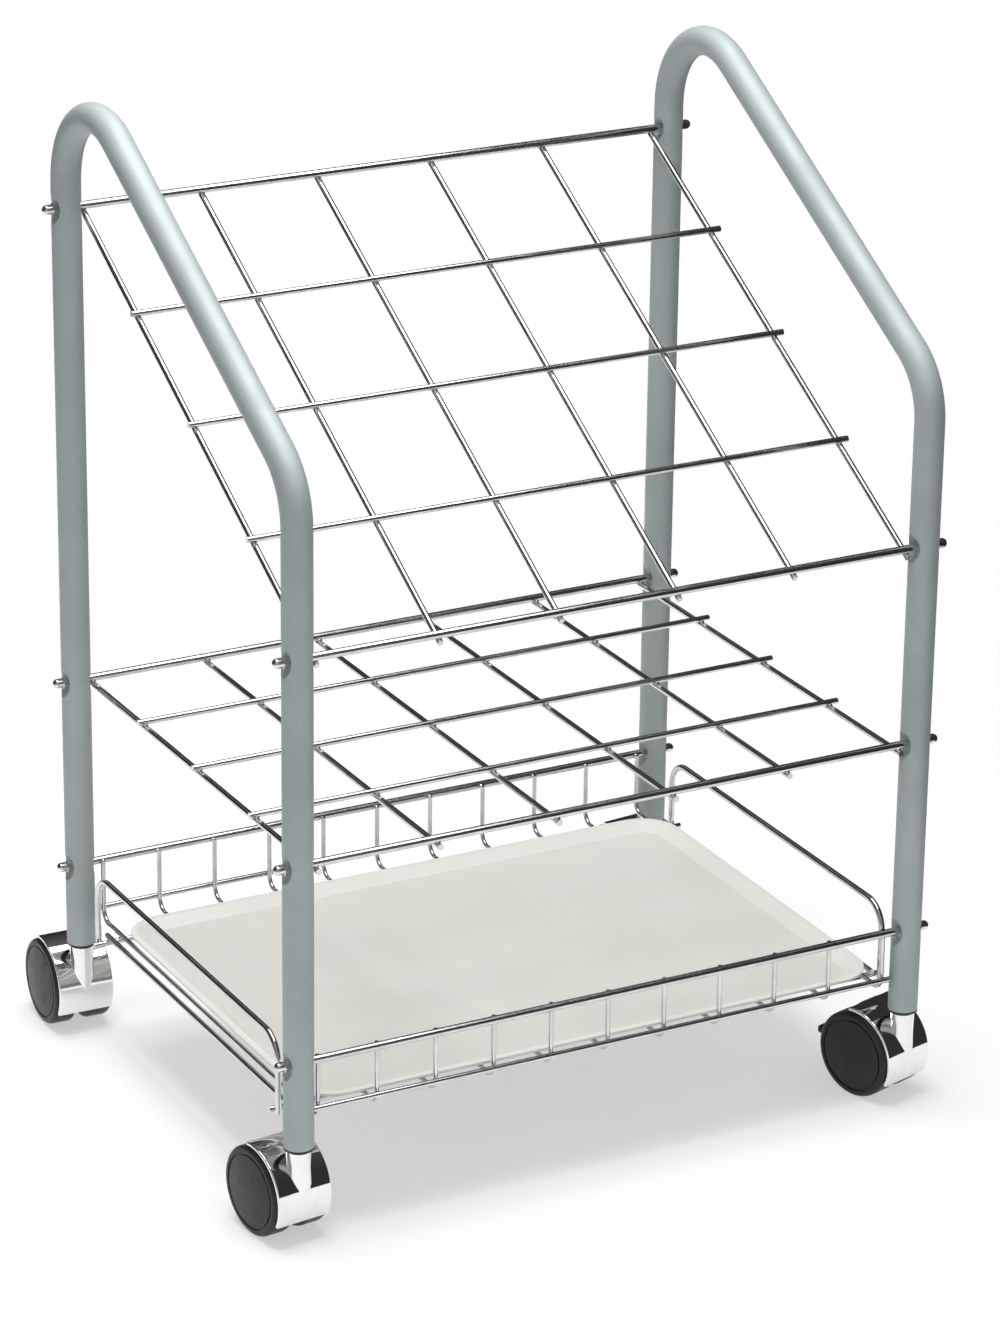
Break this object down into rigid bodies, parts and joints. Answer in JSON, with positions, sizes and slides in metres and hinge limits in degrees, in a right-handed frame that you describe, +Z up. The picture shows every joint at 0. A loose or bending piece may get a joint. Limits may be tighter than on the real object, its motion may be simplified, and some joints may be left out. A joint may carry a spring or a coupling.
{
  "type": "rolling file cart",
  "caption": "Wheeled wire stand for upright rolled drawings: bent-tube side frames, sloping and level wire grids, a basket with a loose tray, and hooded twin-wheel casters.",
  "frame": {"origin": "on the floor, under the centre of the box round the whole cart at rest", "axes": "+Z up, X across the cart, -Y towards the low front edge of the sloping grid"},
  "size_m": [0.4638, 0.3826, 0.626],
  "materials": {
    "frame_paint": "satin silver-grey paint",
    "wire_chrome": "bright plated wire",
    "nut_chrome": "bright plated nut",
    "tray_plastic": "fine matte ivory plastic",
    "socket_plastic": "matte black plastic",
    "stem_steel": "turned steel",
    "hood_chrome": "bright plated hood",
    "wheel_plastic": "matte dark grey plastic",
    "lever_plastic": "matte black plastic"
  },
  "bodies": {
    "cart": {"basket_floor_wires": "wire_chrome", "basket_front_rail": "wire_chrome", "basket_left_end_frame": "wire_chrome", "basket_lower_wires": "wire_chrome", "basket_rear_rail": "wire_chrome", "basket_right_end_frame": "wire_chrome", "basket_side_wires": "wire_chrome", "basket_u_wires": "wire_chrome", "front_left_socket": "socket_plastic", "front_right_socket": "socket_plastic", "left_cap_nuts": "nut_chrome", "left_side_frame": "frame_paint", "middle_cross_wires": "wire_chrome", "middle_front_rod": "wire_chrome", "middle_lengthwise_wires": "wire_chrome", "middle_rear_rod": "wire_chrome", "rear_left_socket": "socket_plastic", "rear_right_socket": "socket_plastic", "right_cap_nuts": "nut_chrome", "right_side_frame": "frame_paint", "upper_cross_wires": "wire_chrome", "upper_front_rod": "wire_chrome", "upper_rear_rod": "wire_chrome", "upper_sloping_wires": "wire_chrome"},
    "tray": {"tray_floor": "tray_plastic", "tray_rim": "tray_plastic"},
    "front_left_caster": {"front_left_stem": "stem_steel", "front_left_grip_ring": "stem_steel", "front_left_hood": "hood_chrome", "front_left_axle": "stem_steel", "front_left_brake_pin": "stem_steel"},
    "front_left_left_wheel": {"front_left_left_wheel": "wheel_plastic"},
    "front_left_right_wheel": {"front_left_right_wheel": "wheel_plastic"},
    "front_left_brake_lever": {"front_left_brake_lever": "lever_plastic"},
    "front_right_caster": {"front_right_stem": "stem_steel", "front_right_grip_ring": "stem_steel", "front_right_hood": "hood_chrome", "front_right_axle": "stem_steel", "front_right_brake_pin": "stem_steel"},
    "front_right_left_wheel": {"front_right_left_wheel": "wheel_plastic"},
    "front_right_right_wheel": {"front_right_right_wheel": "wheel_plastic"},
    "front_right_brake_lever": {"front_right_brake_lever": "lever_plastic"},
    "rear_left_caster": {"rear_left_stem": "stem_steel", "rear_left_grip_ring": "stem_steel", "rear_left_hood": "hood_chrome", "rear_left_axle": "stem_steel"},
    "rear_left_left_wheel": {"rear_left_left_wheel": "wheel_plastic"},
    "rear_left_right_wheel": {"rear_left_right_wheel": "wheel_plastic"},
    "rear_right_caster": {"rear_right_stem": "stem_steel", "rear_right_grip_ring": "stem_steel", "rear_right_hood": "hood_chrome", "rear_right_axle": "stem_steel"},
    "rear_right_left_wheel": {"rear_right_left_wheel": "wheel_plastic"},
    "rear_right_right_wheel": {"rear_right_right_wheel": "wheel_plastic"}
  },
  "joints": [
    {"name": "tray_lift", "type": "slide", "parent": "cart", "child": "tray", "axis": [0, 0, 1], "range_m": [0, 0.12]},
    {"name": "front_left_swivel", "type": "hinge", "parent": "cart", "child": "front_left_caster", "pos_m": [-0.2062, -0.17916, 0.063], "axis": [0, 0, 1], "continuous": true},
    {"name": "front_left_left_wheel_spin", "type": "hinge", "parent": "front_left_caster", "child": "front_left_left_wheel", "pos_m": [-0.209, -0.15633, 0.028], "axis": [0.9925, 0.1219, 0], "continuous": true},
    {"name": "front_left_right_wheel_spin", "type": "hinge", "parent": "front_left_caster", "child": "front_left_right_wheel", "pos_m": [-0.209, -0.15633, 0.028], "axis": [0.9925, 0.1219, 0], "continuous": true},
    {"name": "front_left_brake_press", "type": "hinge", "parent": "front_left_caster", "child": "front_left_brake_lever", "pos_m": [-0.21058, -0.1435, 0.04455], "axis": [-0.9925, -0.1219, 0], "range_deg": [0, 7.5]},
    {"name": "front_right_swivel", "type": "hinge", "parent": "cart", "child": "front_right_caster", "pos_m": [0.2118, -0.17916, 0.063], "axis": [0, 0, 1], "continuous": true},
    {"name": "front_right_left_wheel_spin", "type": "hinge", "parent": "front_right_caster", "child": "front_right_left_wheel", "pos_m": [0.20546, -0.15705, 0.028], "axis": [0.9613, 0.2756, 0], "continuous": true},
    {"name": "front_right_right_wheel_spin", "type": "hinge", "parent": "front_right_caster", "child": "front_right_right_wheel", "pos_m": [0.20546, -0.15705, 0.028], "axis": [0.9613, 0.2756, 0], "continuous": true},
    {"name": "front_right_brake_press", "type": "hinge", "parent": "front_right_caster", "child": "front_right_brake_lever", "pos_m": [0.2019, -0.14463, 0.04455], "axis": [-0.9613, -0.2756, 0], "range_deg": [0, 7.5]},
    {"name": "rear_left_swivel", "type": "hinge", "parent": "cart", "child": "rear_left_caster", "pos_m": [-0.2062, 0.13884, 0.063], "axis": [0, 0, 1], "continuous": true},
    {"name": "rear_left_left_wheel_spin", "type": "hinge", "parent": "rear_left_caster", "child": "rear_left_left_wheel", "pos_m": [-0.20559, 0.16183, 0.028], "axis": [0.9997, -0.0262, 0], "continuous": true},
    {"name": "rear_left_right_wheel_spin", "type": "hinge", "parent": "rear_left_caster", "child": "rear_left_right_wheel", "pos_m": [-0.20559, 0.16183, 0.028], "axis": [0.9997, -0.0262, 0], "continuous": true},
    {"name": "rear_right_swivel", "type": "hinge", "parent": "cart", "child": "rear_right_caster", "pos_m": [0.2118, 0.13884, 0.063], "axis": [0, 0, 1], "continuous": true},
    {"name": "rear_right_left_wheel_spin", "type": "hinge", "parent": "rear_right_caster", "child": "rear_right_left_wheel", "pos_m": [0.2094, 0.16171, 0.028], "axis": [0.9945, 0.1045, 0], "continuous": true},
    {"name": "rear_right_right_wheel_spin", "type": "hinge", "parent": "rear_right_caster", "child": "rear_right_right_wheel", "pos_m": [0.2094, 0.16171, 0.028], "axis": [0.9945, 0.1045, 0], "continuous": true}
  ]
}
